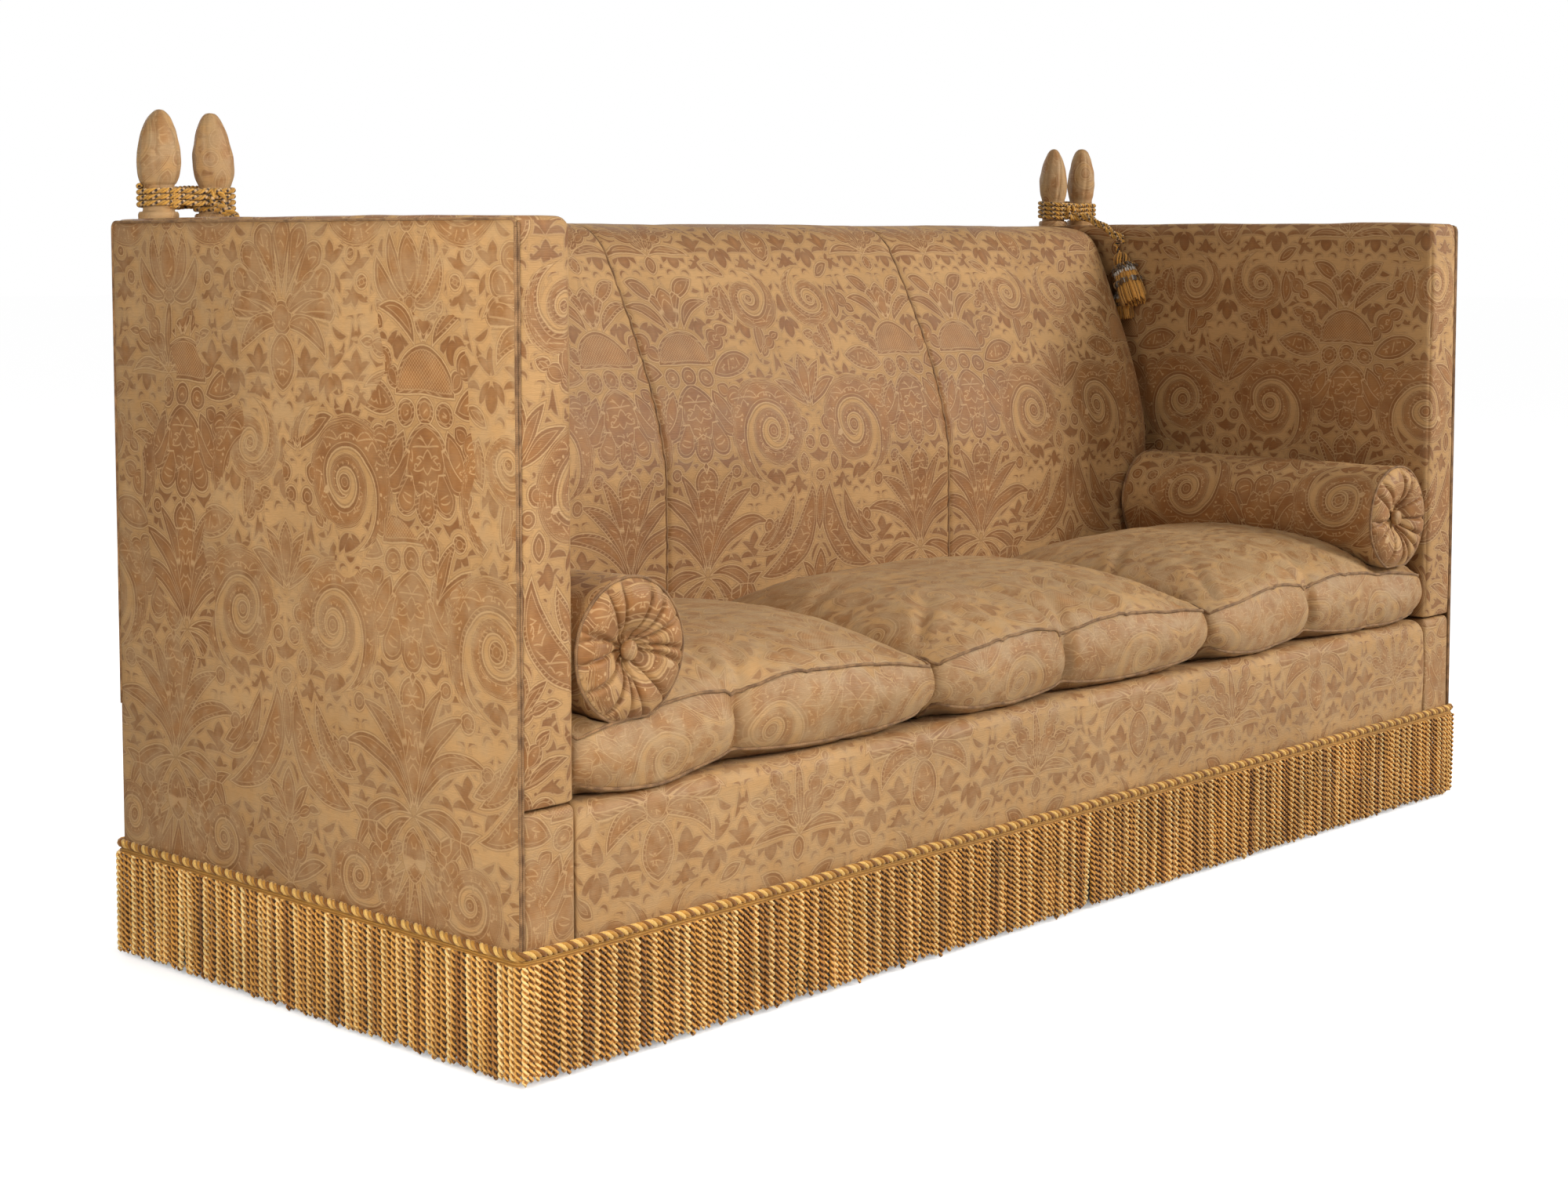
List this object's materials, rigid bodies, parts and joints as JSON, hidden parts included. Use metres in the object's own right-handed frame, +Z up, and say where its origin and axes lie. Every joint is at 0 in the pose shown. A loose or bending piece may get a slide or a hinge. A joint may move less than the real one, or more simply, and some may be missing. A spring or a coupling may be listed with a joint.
{
  "type": "sofa",
  "caption": "Long drop-arm sofa with high hinged arms roped to bud finials on the back, loose seat cushions, round bolsters and a bullion fringe to the floor.",
  "frame": {"origin": "on the floor, under the middle of the sofa", "axes": "+X along the sofa's length to the right of someone looking at its front, +Y towards the back, +Z up"},
  "size_m": [2.3386, 0.9046, 1.2343],
  "materials": {
    "damask": "woven damask, beige ground with tan figures",
    "beech": "plain sanded",
    "hessian": "coarse weave",
    "black_cloth": "thin matt cotton",
    "jute_web": "tight herringbone webbing",
    "steel": "plain drawn steel",
    "gold_cord": "twisted cords, three gold to one cream",
    "rope_cord": "twisted gold, black and cream strands",
    "tassel_silk": "silky cut threads"
  },
  "bodies": {
    "base": {"base_frame": "beech", "front_left_foot": "beech", "front_middle_foot": "beech", "front_right_foot": "beech", "back_left_foot": "beech", "back_middle_foot": "beech", "back_right_foot": "beech", "seat_webbing": "jute_web", "seat_platform": "hessian", "dust_cover": "black_cloth", "front_rail_cover": "damask", "left_base_cover": "damask", "right_base_cover": "damask", "back_frame": "beech", "back_pad": "damask", "outside_back": "damask", "left_back_finial": "damask", "right_back_finial": "damask", "fringe_heading": "gold_cord", "front_fringe": "gold_cord", "back_fringe": "gold_cord", "left_fringe": "gold_cord", "right_fringe": "gold_cord", "left_front_hinge_fixed_leaf": "steel", "left_front_hinge_pin": "steel", "left_rear_hinge_fixed_leaf": "steel", "left_rear_hinge_pin": "steel", "right_front_hinge_fixed_leaf": "steel", "right_front_hinge_pin": "steel", "right_rear_hinge_fixed_leaf": "steel", "right_rear_hinge_pin": "steel", "left_rope_winding": "rope_cord", "right_rope_winding": "rope_cord", "left_rope_tail": "rope_cord", "right_rope_tail": "rope_cord", "left_tassels": "tassel_silk", "right_tassels": "tassel_silk"},
    "left_arm": {"left_arm_frame": "beech", "left_arm_pad": "damask", "left_arm_outer_panel": "damask", "left_arm_finial": "damask", "left_front_hinge_moving_leaf": "steel", "left_rear_hinge_moving_leaf": "steel"},
    "right_arm": {"right_arm_frame": "beech", "right_arm_pad": "damask", "right_arm_outer_panel": "damask", "right_arm_finial": "damask", "right_front_hinge_moving_leaf": "steel", "right_rear_hinge_moving_leaf": "steel"},
    "left_cushion": {"left_cushion": "damask"},
    "middle_cushion": {"middle_cushion": "damask"},
    "right_cushion": {"right_cushion": "damask"},
    "left_bolster": {"left_bolster": "damask", "left_bolster_front_button": "damask", "left_bolster_rear_button": "damask"},
    "right_bolster": {"right_bolster": "damask", "right_bolster_front_button": "damask", "right_bolster_rear_button": "damask"}
  },
  "joints": [
    {"name": "left_arm_drop", "type": "hinge", "parent": "base", "child": "left_arm", "pos_m": [-1.152, 0, 0.344], "axis": [0, -1, 0], "range_deg": [0, 90], "deforming": ["left_rope_winding"]},
    {"name": "right_arm_drop", "type": "hinge", "parent": "base", "child": "right_arm", "pos_m": [1.152, 0, 0.344], "axis": [0, 1, 0], "range_deg": [0, 90], "deforming": ["right_rope_winding"]},
    {"name": "left_cushion_lift", "type": "slide", "parent": "base", "child": "left_cushion", "axis": [0, 0, 1], "range_m": [0, 0.75]},
    {"name": "middle_cushion_lift", "type": "slide", "parent": "base", "child": "middle_cushion", "axis": [0, 0, 1], "range_m": [0, 0.75]},
    {"name": "right_cushion_lift", "type": "slide", "parent": "base", "child": "right_cushion", "axis": [0, 0, 1], "range_m": [0, 0.75]},
    {"name": "left_bolster_lift", "type": "slide", "parent": "left_cushion", "child": "left_bolster", "axis": [0, 0, 1], "range_m": [0, 0.75]},
    {"name": "right_bolster_lift", "type": "slide", "parent": "right_cushion", "child": "right_bolster", "axis": [0, 0, 1], "range_m": [0, 0.75]}
  ]
}
